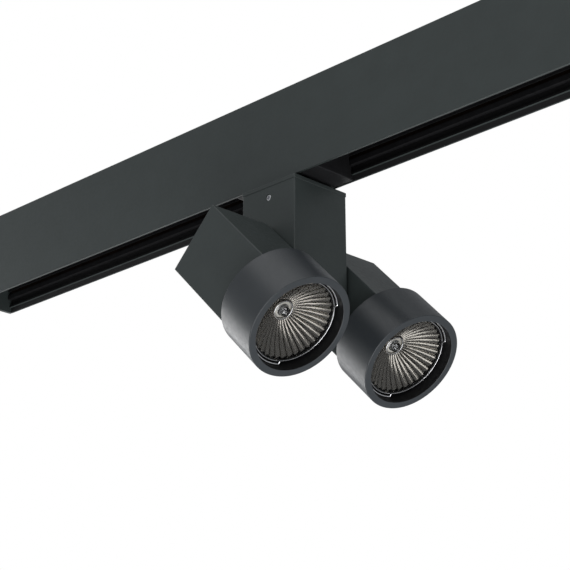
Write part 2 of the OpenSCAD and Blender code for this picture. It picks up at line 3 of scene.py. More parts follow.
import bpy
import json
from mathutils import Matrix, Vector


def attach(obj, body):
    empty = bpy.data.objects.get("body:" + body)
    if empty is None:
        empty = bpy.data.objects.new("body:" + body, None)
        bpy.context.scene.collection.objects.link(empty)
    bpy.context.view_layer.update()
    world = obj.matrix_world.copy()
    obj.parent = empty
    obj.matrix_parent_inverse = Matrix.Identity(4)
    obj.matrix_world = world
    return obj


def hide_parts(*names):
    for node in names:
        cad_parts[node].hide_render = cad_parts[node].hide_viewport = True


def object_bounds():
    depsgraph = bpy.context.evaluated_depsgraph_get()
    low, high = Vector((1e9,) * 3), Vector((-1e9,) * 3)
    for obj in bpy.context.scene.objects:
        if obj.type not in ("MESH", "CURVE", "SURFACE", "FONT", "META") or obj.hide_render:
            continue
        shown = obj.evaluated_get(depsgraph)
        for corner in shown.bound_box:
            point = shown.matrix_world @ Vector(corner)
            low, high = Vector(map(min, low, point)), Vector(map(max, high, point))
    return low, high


bl_info = {
    "name": "Twin-Head Track Spotlight",
    "version": (1, 0, 0),
    "blender": (4, 5, 0),
    "location": "View3D > Sidebar > Spotlight",
    "description": "Builds the finished pieces, materials and stage of a twin-head track spotlight",
    "category": "Object",
}

import json
import math

import bmesh
import bpy
from bpy.props import FloatProperty, FloatVectorProperty, IntProperty, PointerProperty
from mathutils import Matrix, Vector

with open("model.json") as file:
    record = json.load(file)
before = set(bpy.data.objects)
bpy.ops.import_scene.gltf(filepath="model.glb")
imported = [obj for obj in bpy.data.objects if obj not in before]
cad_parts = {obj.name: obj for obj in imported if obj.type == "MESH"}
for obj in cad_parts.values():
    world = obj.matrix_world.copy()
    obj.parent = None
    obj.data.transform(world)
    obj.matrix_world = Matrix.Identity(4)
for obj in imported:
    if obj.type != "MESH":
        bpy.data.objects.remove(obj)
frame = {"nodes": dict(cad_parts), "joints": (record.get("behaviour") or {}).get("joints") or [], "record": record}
cad_low, cad_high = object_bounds()

MM = 0.001
MERGE = 0.002 * MM              # points closer than this are one point
NEAR = 0.02 * MM                # points closer than this to a plane lie on it
SIDES = ("front", "rear")
HERE = Matrix.Identity(4)
QUARTER = math.pi / 2

FINISH_OF = {part["node"]: part["material_slot"] for part in frame["record"]["subparts"]}

# each screw's shank radius, length, head radius and head thickness
END_SCREW = (1.2 * MM, 12 * MM, 2.4 * MM, 1.4 * MM)
ADAPTOR_SCREW = (1.2 * MM, 5 * MM, 2.3 * MM, 1.1 * MM)
BASE_SCREW = (1.45 * MM, 7 * MM, 2.7 * MM, 1.3 * MM)
VENT_SCREW = (1.2 * MM, 9 * MM, 2.3 * MM, 1.2 * MM)

# number of facets round each kind of turned shape
SCREW_FACETS, BULB_FACETS, NECK_FACETS, GLASS_FACETS, BARREL_FACETS = 32, 48, 64, 128, 160

# each light's name, place, size and power
LIGHTS = (
    ("left_softbox", (-1.56, 0.06, 0.05), (1.05, 0.9), 8.0),
    ("front_fill", (0.3, -2.2, 0.6), (1.6, 1.2), 4.5),
    ("top_front", (0.5, -0.8, 1.7), (2.6, 2.0), 14.0),
    ("floor_glow", (0.8, -0.4, -1.7), (1.6, 1.6), 28.0),
    ("back_card", (-1.3, 1.3, -1.0), (1.3, 1.3), 4.5))


# ---------- sizes and colours that a user would change ----------

class RailLook(bpy.types.PropertyGroup):
    """Finish of the lighting rail."""

    edge_radius: FloatProperty(
        name="Edge radius", description="Round on the rail's long outer edges",
        default=0.35 * MM, min=0.05 * MM, max=0.7 * MM, unit="LENGTH", precision=5)
    cap_edge_radius: FloatProperty(
        name="End cap edge radius", description="Round on the end caps' outer edges",
        default=0.6 * MM, min=0.1 * MM, max=1.2 * MM, unit="LENGTH", precision=5)
    coat_colour: FloatVectorProperty(
        name="Coat colour", description="Colour of the rail's powder coat",
        default=(0.036, 0.045, 0.044), size=3, min=0.0, max=1.0, subtype="COLOR")


class ColumnLook(bpy.types.PropertyGroup):
    """Finish of the square column."""

    cap_edge_radius: FloatProperty(
        name="Cap edge radius", description="Round on the edges of the column's cap and base",
        default=0.35 * MM, min=0.05 * MM, max=0.8 * MM, unit="LENGTH", precision=5)
    corner_radius: FloatProperty(
        name="Corner radius", description="Round on the upright corners",
        default=1.0 * MM, min=0.9 * MM, max=1.5 * MM, unit="LENGTH", precision=5)


class HeadLook(bpy.types.PropertyGroup):
    """Finish of the two lamp heads."""

    block_edge_radius: FloatProperty(
        name="Block edge radius", description="Round on the square block's outer edges",
        default=0.6 * MM, min=0.2 * MM, max=1.5 * MM, unit="LENGTH", precision=5)
    barrel_edge_radius: FloatProperty(
        name="Barrel edge radius", description="Round on the barrel's outer edges",
        default=0.45 * MM, min=0.1 * MM, max=1.0 * MM, unit="LENGTH", precision=5)
    flutes: IntProperty(
        name="Flutes", description="Number of flutes round each reflector",
        default=36, min=12, max=60)
    flute_depth: FloatProperty(
        name="Flute depth", description="Depth of a flute at the reflector's mouth",
        default=1.3 * MM, min=0.2 * MM, max=1.8 * MM, unit="LENGTH", precision=5)


class StageLook(bpy.types.PropertyGroup):
    """Floor, lights and camera."""

    floor_drop: FloatProperty(
        name="Floor drop", description="Height of the ceiling face above the floor",
        default=2.5, min=1.0, max=4.0, unit="LENGTH")
    floor_colour: FloatVectorProperty(
        name="Floor colour", description="Colour of the plain floor",
        default=(0.86, 0.86, 0.86), size=3, min=0.0, max=1.0, subtype="COLOR")
    lens: FloatProperty(
        name="Lens", description="Focal length of the camera in millimetres",
        default=110.68, min=20.0, max=300.0)


# ---------- node helpers ----------

def add_node(tree, kind, inputs=None, **settings):
    """Adds a node, sets its properties, and links or sets its inputs by name or number."""
    made = tree.nodes.new(kind)
    for key, value in settings.items():
        setattr(made, key, value)
    for key, value in (inputs or {}).items():
        if isinstance(value, bpy.types.NodeSocket):
            tree.links.new(value, made.inputs[key])
        else:
            made.inputs[key].default_value = value
    return made


def scaled(colour, factor):
    """A colour made lighter or darker, with full alpha."""
    return (*(min(1.0, c * factor) for c in colour), 1.0)


def noise(tree, scale, detail=2.0, stretch=(1.0, 1.0, 1.0)):
    """Noise on object coordinates, with its scale per metre."""
    place = add_node(tree, "ShaderNodeTexCoord").outputs["Object"]
    mapped = add_node(tree, "ShaderNodeMapping", {"Vector": place, "Scale": stretch})
    return add_node(tree, "ShaderNodeTexNoise", {
        "Vector": mapped.outputs["Vector"], "Scale": scale, "Detail": detail}).outputs["Fac"]


def ramp(tree, source, low, high):
    """Spreads a texture's middle range, from 0.3 to 0.7, between two values."""
    return add_node(tree, "ShaderNodeMapRange", {
        "Value": source, "From Min": 0.3, "From Max": 0.7, "To Min": low, "To Max": high}).outputs["Result"]


def tinted(tree, source, colour, low, high):
    """Two shades of one colour, mixed by a texture."""
    share = ramp(tree, source, 0.0, 1.0)
    mix = add_node(tree, "ShaderNodeMix", data_type="RGBA")
    tree.links.new(share, mix.inputs["Factor"])
    mix.inputs[6].default_value = scaled(colour, low)
    mix.inputs[7].default_value = scaled(colour, high)
    return mix.outputs[2]


def surface(name, values):
    """A new material with a principled shader, and its tree and shader."""
    material = bpy.data.materials.new(name)
    material.use_nodes = True
    tree = material.node_tree
    tree.nodes.clear()
    shader = add_node(tree, "ShaderNodeBsdfPrincipled", values)
    add_node(tree, "ShaderNodeOutputMaterial", {"Surface": shader.outputs["BSDF"]})
    return material, tree, shader


def dimple(tree, shader, source, depth, strength):
    """Raises the surface by a texture, to the given depth in metres."""
    bump = add_node(tree, "ShaderNodeBump", {"Height": source, "Distance": depth, "Strength": strength})
    tree.links.new(bump.outputs["Normal"], shader.inputs["Normal"])


# ---------- materials ----------

def coat(name, colour, roughness, grain, depth):
    """Powder coat: a faint cloud in the colour, patchy gloss and a fine orange-peel grain."""
    material, tree, shader = surface(name, {"IOR": 1.5})
    cloud = noise(tree, 70.0, 3.0)
    tree.links.new(tinted(tree, cloud, colour, 0.95, 1.06), shader.inputs["Base Color"])
    gloss = ramp(tree, noise(tree, 420.0, 2.0), roughness - 0.04, roughness + 0.05)
    tree.links.new(gloss, shader.inputs["Roughness"])
    dimple(tree, shader, noise(tree, grain, 2.0), depth, 0.6)
    return material


def powder_coat(name):
    """The satin coat of the rail, the column and the blocks."""
    return coat(name, bpy.context.scene.spotlight_rail.coat_colour, 0.46, 1500.0, 0.03 * MM)


def barrel_coat(name):
    """The smoother coat of the turned barrels."""
    return coat(name, (0.036, 0.041, 0.046), 0.36, 1900.0, 0.012 * MM)


def painted_shade_coat(name):
    """The same coat painted near black: painted shade where little light reaches it, as in a bore or the channel.
    """
    return coat(name, (0.003, 0.003, 0.0035), 0.6, 1900.0, 0.012 * MM)


def black_plastic(name):
    """Moulded plastic with a fine spark-eroded grain."""
    material, tree, shader = surface(name, {"IOR": 1.46})
    shades = tinted(tree, noise(tree, 160.0, 4.0), (0.008, 0.008, 0.009), 0.8, 1.3)
    tree.links.new(shades, shader.inputs["Base Color"])
    tree.links.new(ramp(tree, noise(tree, 900.0), 0.48, 0.62), shader.inputs["Roughness"])
    dimple(tree, shader, noise(tree, 2600.0, 3.0), 0.03 * MM, 0.5)
    return material


def metal(name, colour, roughness, streaks=(1.0, 1.0, 1.0), depth=0.004 * MM):
    """Bare or plated metal, with faint stains and fine tool marks along one direction."""
    material, tree, shader = surface(name, {"Metallic": 1.0})
    stains = tinted(tree, noise(tree, 130.0, 4.0), colour, 0.86, 1.06)
    tree.links.new(stains, shader.inputs["Base Color"])
    marks = noise(tree, 1800.0, 2.0, streaks)
    tree.links.new(ramp(tree, marks, roughness * 0.75, roughness * 1.3), shader.inputs["Roughness"])
    dimple(tree, shader, marks, depth, 0.4)
    return material


def plated_steel(name):
    """Zinc-plated steel, as on the screws."""
    return metal(name, (0.60, 0.61, 0.63), 0.3, (1.0, 1.0, 0.15))


def brass(name):
    """Machined brass."""
    return metal(name, (0.78, 0.60, 0.29), 0.28, (1.0, 1.0, 0.1))


def copper(name):
    """Copper strip with a dull brown skin."""
    return metal(name, (0.05, 0.03, 0.02), 0.5, (0.05, 1.0, 1.0))


def spring_wire(name):
    """Bright drawn wire."""
    return metal(name, (0.82, 0.82, 0.84), 0.16, (1.0, 1.0, 1.0), 0.002 * MM)


def reflector_coating(name):
    """Bright coating on pressed glass: smooth, with a faint warm cloud."""
    material, tree, shader = surface(name, {"Metallic": 1.0})
    shades = tinted(tree, noise(tree, 90.0, 2.0), (0.27, 0.256, 0.232), 0.96, 1.04)
    tree.links.new(shades, shader.inputs["Base Color"])
    tree.links.new(ramp(tree, noise(tree, 60.0, 1.0), 0.2, 0.24), shader.inputs["Roughness"])
    return material


def ceramic(name):
    """Unglazed steatite, slightly speckled and rough."""
    material, tree, shader = surface(name, {"IOR": 1.55})
    specks = tinted(tree, noise(tree, 700.0, 5.0), (0.84, 0.82, 0.75), 0.86, 1.05)
    tree.links.new(specks, shader.inputs["Base Color"])
    tree.links.new(ramp(tree, noise(tree, 300.0), 0.6, 0.78), shader.inputs["Roughness"])
    dimple(tree, shader, noise(tree, 2200.0, 3.0), 0.02 * MM, 0.5)
    return material


def lamp_glass(name):
    """Clear glass with a faint smear in its gloss."""
    material, tree, shader = surface(name, {
        "Base Color": (0.97, 0.98, 0.98, 1.0), "Transmission Weight": 1.0, "IOR": 1.47})
    tree.links.new(ramp(tree, noise(tree, 90.0, 4.0), 0.0, 0.03), shader.inputs["Roughness"])
    return material


def front_glass(name):
    """Thin clear cover glass."""
    material, tree, shader = surface(name, {"Base Color": (0.01, 0.01, 0.01, 1.0), "Alpha": 0.12})
    tree.links.new(ramp(tree, noise(tree, 90.0, 4.0), 0.01, 0.04), shader.inputs["Roughness"])
    return material


def painted_shade_rim(name):
    """Glossy edge of the pressed-glass lamp, painted dark: painted shade on the rim, its seat and the flutes'
    front ends.
    """
    material, tree, shader = surface(name, {"IOR": 1.52})
    shades = tinted(tree, noise(tree, 200.0, 3.0), (0.02, 0.02, 0.02), 0.7, 1.4)
    tree.links.new(shades, shader.inputs["Base Color"])
    tree.links.new(ramp(tree, noise(tree, 500.0), 0.08, 0.18), shader.inputs["Roughness"])
    return material


def silicone_lead(name):
    """Matt silicone sleeve over the conductor."""
    material, tree, shader = surface(name, {"IOR": 1.42})
    shades = tinted(tree, noise(tree, 260.0, 3.0), (0.42, 0.09, 0.06), 0.85, 1.15)
    tree.links.new(shades, shader.inputs["Base Color"])
    tree.links.new(ramp(tree, noise(tree, 800.0), 0.55, 0.7), shader.inputs["Roughness"])
    dimple(tree, shader, noise(tree, 1600.0, 2.0), 0.02 * MM, 0.4)
    return material


MATERIAL_MAKERS = {made.__name__: made for made in (
    powder_coat, barrel_coat, painted_shade_coat, black_plastic, plated_steel, brass, copper, spring_wire,
    reflector_coating, ceramic, lamp_glass, front_glass, painted_shade_rim, silicone_lead)}


def material_for(name):
    """The named material, made the first time that it is asked for."""
    label = f"spotlight_{name}"
    return bpy.data.materials.get(label) or MATERIAL_MAKERS[name](label)


# ---------- mesh helpers ----------

def own_axes(side):
    """A head's own axes at rest: X along the beam, with the origin on the tilt axis."""
    joint = next(j for j in frame["joints"] if j["name"] == f"{side}_head_tilt")
    tilt = math.radians(-joint["range_deg"][0])
    return Matrix.Translation(joint["pos_m"]) @ Matrix.Rotation(tilt, 4, "Y")


def box_in(node, axes=HERE):
    """Lowest and highest corners of a CAD node, measured along the given axes."""
    back = axes.inverted()
    points = [back @ v.co for v in frame["nodes"][node].data.vertices]
    low = Vector([min(p[i] for p in points) for i in range(3)])
    high = Vector([max(p[i] for p in points) for i in range(3)])
    return low, high


def shade(piece, crease=40.0):
    """Smooth shading that stays flat on flat faces and sharp at edges steeper than crease."""
    mesh = piece.data
    mesh.polygons.foreach_set("use_smooth", [True] * len(mesh.polygons))
    mesh.set_sharp_from_angle(angle=math.radians(crease))
    modifier = piece.modifiers.new("even_faces", "WEIGHTED_NORMAL")
    modifier.keep_sharp = True


def link_piece(name, mesh):
    """An object at the origin with that mesh."""
    piece = bpy.data.objects.new(name, mesh)
    bpy.context.scene.collection.objects.link(piece)
    return piece


def mesh_from(name, bm):
    """A mesh made from a bmesh, which is then freed."""
    mesh = bpy.data.meshes.new(name)
    bm.to_mesh(mesh)
    bm.free()
    return mesh


def close_up(bm):
    """Merges doubles, drops loose edges and turns the faces outwards."""
    bmesh.ops.remove_doubles(bm, verts=bm.verts[:], dist=MERGE)
    loose = [edge for edge in bm.edges if not edge.link_faces]
    bmesh.ops.delete(bm, geom=loose, context="EDGES")
    bmesh.ops.recalc_face_normals(bm, faces=bm.faces[:])


def piece_from(name, bm, material, axes=HERE, turn_out=True):
    """Makes a piece from a bmesh that was drawn along the given axes."""
    if turn_out:
        close_up(bm)
    bm.transform(axes)
    mesh = mesh_from(name, bm)
    mesh.materials.append(material_for(material))
    piece = link_piece(name, mesh)
    shade(piece)
    return piece


def declare(piece, body, slot, *stands_for):
    """Says what body a piece rides on and the CAD nodes that it stands for. The slot, its finish, is not used."""
    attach(piece, body)
    if stands_for:
        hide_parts(*stands_for)


def loft(loops):
    """Joins closed loops of equal length, the last one back to the first."""
    bm = bmesh.new()
    rings = [[bm.verts.new(point) for point in loop] for loop in loops]
    count = len(loops[0])
    for ring, following in zip(rings, rings[1:] + rings[:1]):
        for k in range(count):
            nxt = (k + 1) % count
            bm.faces.new((ring[k], ring[nxt], following[nxt], following[k]))
    return bm


def lathe(outline, facets):
    """Turns a closed outline of (x, radius) points round the X axis."""
    angles = [2 * math.pi * k / facets for k in range(facets)]
    return loft([[(x, radius * math.cos(a), radius * math.sin(a)) for a in angles] for x, radius in outline])


def rounded_outline(corners, steps=4):
    """A closed outline through (x, y, radius) corners, with an arc at each corner that has a radius."""
    outline = []
    for i, (x, y, radius) in enumerate(corners):
        corner = Vector((x, y))
        if radius == 0:
            outline.append(corner)
            continue
        back = (Vector(corners[i - 1][:2]) - corner).normalized()
        ahead = (Vector(corners[(i + 1) % len(corners)][:2]) - corner).normalized()
        half = back.angle(ahead) / 2
        reach = radius / math.tan(half)
        centre = corner + (back + ahead).normalized() * radius / math.sin(half)
        start = (corner + back * reach - centre).normalized()
        end = (corner + ahead * reach - centre).normalized()
        outline += [centre + radius * start.slerp(end, k / steps) for k in range(steps + 1)]
    return outline


def rounded_square(half, radius, z):
    """Points of a square with round corners at height z."""
    points, steps = [], 6
    for quarter in range(4):
        turn = Matrix.Rotation(quarter * QUARTER, 3, "Z")
        for k in range(steps + 1):
            angle = QUARTER * k / steps
            corner = Vector((half - radius, half - radius, z))
            points.append(turn @ (corner + radius * Vector((math.cos(angle), math.sin(angle), 0))))
    return points


def ring_points(radius, z, count):
    """Points of a circle at height z, in step with those of a rounded square."""
    angles = [2 * math.pi * (k + 0.5) / count for k in range(count)]
    return [Vector((radius * math.cos(a), radius * math.sin(a), z)) for a in angles]


def bored_plate(low, high, corner, edge, bore):
    """A square plate with round corners and edges, and a round bore through its middle."""
    half = (high.x - low.x) / 2
    arc = [QUARTER * k / 4 for k in range(5)]
    loops = [rounded_square(half - edge * (1 - math.sin(a)), corner - edge * (1 - math.sin(a)),
                            low.z + edge * (1 - math.cos(a))) for a in arc]
    loops += [rounded_square(half - edge * (1 - math.cos(a)), corner - edge * (1 - math.cos(a)),
                             high.z - edge * (1 - math.sin(a))) for a in arc]
    count = len(loops[0])
    loops += [ring_points(bore, high.z, count), ring_points(bore, low.z, count)]
    return loft(loops)


def outer_edges(bm, low, high, skip=()):
    """The edges of the outer box from low to high, without those on the skipped faces."""
    found = []
    for edge in bm.edges:
        faces = [(axis, end) for axis in range(3) for end, limit in ((0, low), (1, high))
                 if all(abs(v.co[axis] - limit[axis]) < NEAR for v in edge.verts)]
        if len(faces) == 2 and not any(face in skip for face in faces):
            found.append(edge)
    return found


def softened_copy(node, radius, steps, axes, skip):
    """A merged copy of a CAD node, with its outer box's edges rounded except on the skipped faces."""
    bm = bmesh.new()
    bm.from_mesh(frame["nodes"][node].data)
    bm.transform(axes.inverted())
    bmesh.ops.remove_doubles(bm, verts=bm.verts[:], dist=MERGE)
    bmesh.ops.dissolve_limit(bm, angle_limit=math.radians(0.4), verts=bm.verts[:], edges=bm.edges[:])
    low, high = box_in(node, axes)
    edges = outer_edges(bm, low, high, skip)
    if edges:
        bmesh.ops.bevel(bm, geom=edges, offset=radius, segments=steps, profile=0.5,
                        affect="EDGES", clamp_overlap=True)
    return bm


def softened_piece(name, body, node, radius, steps, axes=HERE, skip=()):
    """A piece that is a CAD node with softer outer edges, in that node's own finish."""
    finish = FINISH_OF[node]
    piece = piece_from(name, softened_copy(node, radius, steps, axes, skip), finish, axes, turn_out=False)
    declare(piece, body, finish, node)
    return piece


def evaluated_mesh(piece):
    """The mesh of an object with its modifiers worked out."""
    graph = bpy.context.evaluated_depsgraph_get()
    graph.update()
    return bpy.data.meshes.new_from_object(piece.evaluated_get(graph))


def cut(blank_bm, tool_bm):
    """Takes the tool's shape out of the blank's and returns the result as a bmesh."""
    objects = []
    for bm in (blank_bm, tool_bm):
        close_up(bm)
        objects.append(link_piece("cutting", mesh_from("cutting", bm)))
    blank, tool = objects
    modifier = blank.modifiers.new("cut", "BOOLEAN")
    modifier.object = tool
    modifier.operation = "DIFFERENCE"
    modifier.solver = "EXACT"
    result = bmesh.new()
    result.from_mesh(evaluated_mesh(blank))
    for used in objects:
        bpy.data.objects.remove(used)
    return result


def prism(outline, x0, x1):
    """A closed prism along X with the given (y, z) outline."""
    bm = bmesh.new()
    ends = [[bm.verts.new((x, y, z)) for y, z in outline] for x in (x0, x1)]
    count = len(outline)
    for k in range(count):
        nxt = (k + 1) % count
        bm.faces.new((ends[0][k], ends[0][nxt], ends[1][nxt], ends[1][k]))
    for end in ends:
        bm.faces.new(end)
    return bm


# ---------- geometry node trees ----------

def new_tree(name, sockets):
    """A geometry node tree with the named inputs, and its group input node."""
    tree = bpy.data.node_groups.new(name, "GeometryNodeTree")
    tree.interface.new_socket("Geometry", in_out="INPUT", socket_type="NodeSocketGeometry")
    for label, kind in sockets.items():
        tree.interface.new_socket(label, in_out="INPUT", socket_type=kind)
    tree.interface.new_socket("Geometry", in_out="OUTPUT", socket_type="NodeSocketGeometry")
    return tree, add_node(tree, "NodeGroupInput")


def close_tree(tree, source, geometry):
    """Ends a tree: instances made real, then the material set."""
    real = add_node(tree, "GeometryNodeRealizeInstances", {"Geometry": geometry})
    painted = add_node(tree, "GeometryNodeSetMaterial", {
        "Geometry": real.outputs["Geometry"], "Material": source.outputs["Material"]})
    add_node(tree, "NodeGroupOutput", {"Geometry": painted.outputs["Geometry"]})


def grown(name, tree, values, bm, axes, crease):
    """Runs a tree on a base mesh, and keeps the result as a plain piece."""
    base = link_piece("base", mesh_from("base", bm))
    modifier = base.modifiers.new("grow", "NODES")
    modifier.node_group = tree
    for item in tree.interface.items_tree:
        if item.item_type == "SOCKET" and item.in_out == "INPUT" and item.name in values:
            modifier[item.identifier] = values[item.name]
    mesh = evaluated_mesh(base)
    mesh.name = name
    bpy.data.objects.remove(base)
    mesh.transform(axes)
    piece = link_piece(name, mesh)
    shade(piece, crease)
    return piece


def math_node(tree, operation, *values):
    """A math node's result."""
    return add_node(tree, "ShaderNodeMath", dict(enumerate(values)), operation=operation).outputs[0]


def screw_tree():
    """Places a screw on each point of a flat grid."""
    tree, source = new_tree("screw_grid", {
        "Screw": "NodeSocketObject", "Columns": "NodeSocketInt", "Rows": "NodeSocketInt",
        "Pitch X": "NodeSocketFloat", "Pitch Y": "NodeSocketFloat", "Material": "NodeSocketMaterial"})
    given = source.outputs
    grid = add_node(tree, "GeometryNodeMeshGrid", {
        "Size X": given["Pitch X"], "Size Y": given["Pitch Y"],
        "Vertices X": given["Columns"], "Vertices Y": given["Rows"]})
    screw = add_node(tree, "GeometryNodeObjectInfo", {"Object": given["Screw"]})
    placed = add_node(tree, "GeometryNodeInstanceOnPoints", {
        "Points": grid.outputs["Mesh"], "Instance": screw.outputs["Geometry"]})
    close_tree(tree, source, placed.outputs["Instances"])
    return tree


def flute_tree():
    """Raises sharp ridges between the flutes of a dish turned round the X axis."""
    tree, source = new_tree("fluted_dish", {
        "Flutes": "NodeSocketFloat", "Depth": "NodeSocketFloat", "Neck radius": "NodeSocketFloat",
        "Mouth radius": "NodeSocketFloat", "Edge plane": "NodeSocketFloat",
        "Edge material": "NodeSocketMaterial", "Material": "NodeSocketMaterial"})
    given = source.outputs
    where = add_node(tree, "GeometryNodeInputPosition").outputs["Position"]
    parts = add_node(tree, "ShaderNodeSeparateXYZ", {"Vector": where}).outputs
    angle = math_node(tree, "ARCTAN2", parts["Z"], parts["Y"])
    half_turns = math_node(tree, "MULTIPLY", math_node(tree, "MULTIPLY", angle, given["Flutes"]), 0.5)
    wave = math_node(tree, "ABSOLUTE", math_node(tree, "COSINE", half_turns))
    ridge = math_node(tree, "SUBTRACT", 1.0, wave)
    across = add_node(tree, "ShaderNodeCombineXYZ", {"X": 0.0, "Y": parts["Y"], "Z": parts["Z"]}).outputs[0]
    radius = add_node(tree, "ShaderNodeVectorMath", {0: across}, operation="LENGTH").outputs["Value"]
    share = add_node(tree, "ShaderNodeMapRange", {
        "Value": radius, "From Min": given["Neck radius"], "From Max": given["Mouth radius"],
        "To Min": 0.0, "To Max": 1.0}).outputs["Result"]
    growth = math_node(tree, "MULTIPLY", math_node(tree, "SQRT", share), given["Depth"])
    depth = math_node(tree, "MULTIPLY", ridge, growth)
    outward = add_node(tree, "ShaderNodeVectorMath", {0: across}, operation="NORMALIZE").outputs["Vector"]
    inward = add_node(tree, "ShaderNodeVectorMath", {
        0: outward, "Scale": math_node(tree, "MULTIPLY", share, -1.0)}, operation="SCALE").outputs["Vector"]
    forward = add_node(tree, "ShaderNodeCombineXYZ", {
        "X": math_node(tree, "SUBTRACT", 1.0, share), "Y": 0.0, "Z": 0.0}).outputs[0]
    path = add_node(tree, "ShaderNodeVectorMath", {0: forward, 1: inward}, operation="ADD").outputs["Vector"]
    shift = add_node(tree, "ShaderNodeVectorMath", {0: path, "Scale": depth}, operation="SCALE")
    moved = add_node(tree, "GeometryNodeSetPosition", {
        "Geometry": given["Geometry"], "Offset": shift.outputs["Vector"]})
    real = add_node(tree, "GeometryNodeRealizeInstances", {"Geometry": moved.outputs["Geometry"]})
    coated = add_node(tree, "GeometryNodeSetMaterial", {
        "Geometry": real.outputs["Geometry"], "Material": given["Material"]})
    on_edge = math_node(tree, "GREATER_THAN", parts["X"], given["Edge plane"])
    edged = add_node(tree, "GeometryNodeSetMaterial", {
        "Geometry": coated.outputs["Geometry"], "Selection": on_edge, "Material": given["Edge material"]})
    add_node(tree, "NodeGroupOutput", {"Geometry": edged.outputs["Geometry"]})
    return tree


def wire_tree():
    """Draws round wire along an edge path."""
    tree, source = new_tree("round_wire", {
        "Wire radius": "NodeSocketFloat", "Material": "NodeSocketMaterial"})
    given = source.outputs
    path = add_node(tree, "GeometryNodeMeshToCurve", {"Mesh": given["Geometry"]})
    ring = add_node(tree, "GeometryNodeCurvePrimitiveCircle", {
        "Resolution": 16, "Radius": given["Wire radius"]})
    swept = add_node(tree, "GeometryNodeCurveToMesh", {
        "Curve": path.outputs["Curve"], "Profile Curve": ring.outputs["Curve"], "Fill Caps": True})
    close_tree(tree, source, swept.outputs["Mesh"])
    return tree


TREE_MAKERS = {made.__name__: made for made in (screw_tree, flute_tree, wire_tree)}


def tree_for(name):
    """The named node tree, made the first time that it is asked for."""
    for tree in bpy.data.node_groups:
        if tree.get("maker") == name:
            return tree
    tree = TREE_MAKERS[name]()
    tree["maker"] = name
    return tree


def path_mesh(points):
    """A bmesh with one chain of edges through the points."""
    bm = bmesh.new()
    chain = [bm.verts.new(point) for point in points]
    for a, b in zip(chain, chain[1:]):
        bm.edges.new((a, b))
    return bm


def wire_piece(name, points, radius, material, axes):
    """A piece of round wire through the points, drawn along the given axes."""
    return grown(name, tree_for("wire_tree"), {
        "Wire radius": radius, "Material": material_for(material)}, path_mesh(points), axes, 60.0)


# ---------- screws ----------

def pan_head_screw(shank, length, head, thickness):
    """A pan-head screw along X, its head on the -X side with a cross recess."""
    blank = lathe(rounded_outline([
        (-thickness, 0, 0), (-thickness, head, thickness * 0.55), (0, head, 0.05 * MM),
        (0, shank, 0), (length, shank, shank * 0.4), (length, 0, 0)]), SCREW_FACETS)
    arm, slim = head * 0.58, head * 0.13
    cross = [(arm, -slim), (arm, slim), (slim, slim), (slim, arm), (-slim, arm), (-slim, slim),
             (-arm, slim), (-arm, -slim), (-slim, -slim), (-slim, -arm), (slim, -arm), (slim, -slim)]
    return cut(blank, prism(cross, -2 * thickness, -0.4 * thickness))


def screw_group(name, shape, columns, rows, pitch, axes):
    """A grid of screws as one piece. Each screw is drawn along X, and the grid lies across it."""
    upright = Matrix.Rotation(-QUARTER, 4, "Y")
    shape.transform(upright)
    screw = link_piece("one_screw", mesh_from("one_screw", shape))
    piece = grown(name, tree_for("screw_tree"), {
        "Screw": screw, "Columns": columns, "Rows": rows, "Pitch X": pitch[0], "Pitch Y": pitch[1],
        "Material": material_for("plated_steel")}, bmesh.new(), axes, 30.0)
    bpy.data.objects.remove(screw)
    return piece


def drilled(bm, centre, radius, depth):
    """Drills a hole up through a part, along Z from the centre's height."""
    drill = lathe([(0, 0), (0, radius), (depth, radius), (depth, 0)], SCREW_FACETS)
    drill.transform(Matrix.Translation(centre) @ Matrix.Rotation(-QUARTER, 4, "Y"))
    return cut(bm, drill)


# ---------- operators ----------

class SPOTLIGHT_OT_finishes(bpy.types.Operator):
    """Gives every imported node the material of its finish"""

    bl_idname = "spotlight.finishes"
    bl_label = "Finishes"

    def execute(self, context):
        for node, slot in FINISH_OF.items():
            mesh = frame["nodes"][node].data
            mesh.materials.clear()
            mesh.materials.append(material_for(slot))
        return {"FINISHED"}


class SPOTLIGHT_OT_rail(bpy.types.Operator):
    """Builds the rail's extrusion, its end caps and their screws"""

    bl_idname = "spotlight.rail"
    bl_label = "Rail"

    def execute(self, context):
        look = context.scene.spotlight_rail
        extrusion = softened_piece(
            "rail_extrusion", "rail", "rail_profile", look.edge_radius, 3, skip=((0, 0), (0, 1)))
        # painted shade: the channel's inner faces are coloured near black
        self.paint_channel_shade(extrusion.data)
        head, thickness = END_SCREW[2:]
        low, high = box_in("end_cap_screws")
        pitch = (high.z - low.z - 2 * head, high.y - low.y - 2 * head)
        for name, way, outermost, inner_end in (("feed", 1, high.x, 0), ("blind", -1, low.x, 1)):
            softened_piece(f"{name}_end_plate", "rail", f"{name}_end_cap", look.cap_edge_radius, 3,
                           skip=((0, inner_end),))
            place = Matrix.Translation((outermost - way * thickness, 0, (low.z + high.z) / 2))
            axes = place @ Matrix.Rotation(-way * QUARTER, 4, "Y")
            screws = screw_group(f"{name}_end_screws", pan_head_screw(*END_SCREW), 2, 2, pitch, axes)
            declare(screws, "rail", "plated_steel", "end_cap_screws")
        return {"FINISHED"}

    def paint_channel_shade(self, mesh):
        """Paints shade on the channel's inner faces with the near-black painted shade coat, apart from those that
        look down.
        """
        mesh.materials.append(material_for("painted_shade_coat"))
        low, high = box_in("track_liner")
        margin, facing_down = 0.2 * MM, -0.5
        for face in mesh.polygons:
            between_walls = low.y - margin < face.center.y < high.y + margin
            inside = between_walls and face.center.z < high.z
            face.material_index = int(inside and face.normal.z > facing_down)


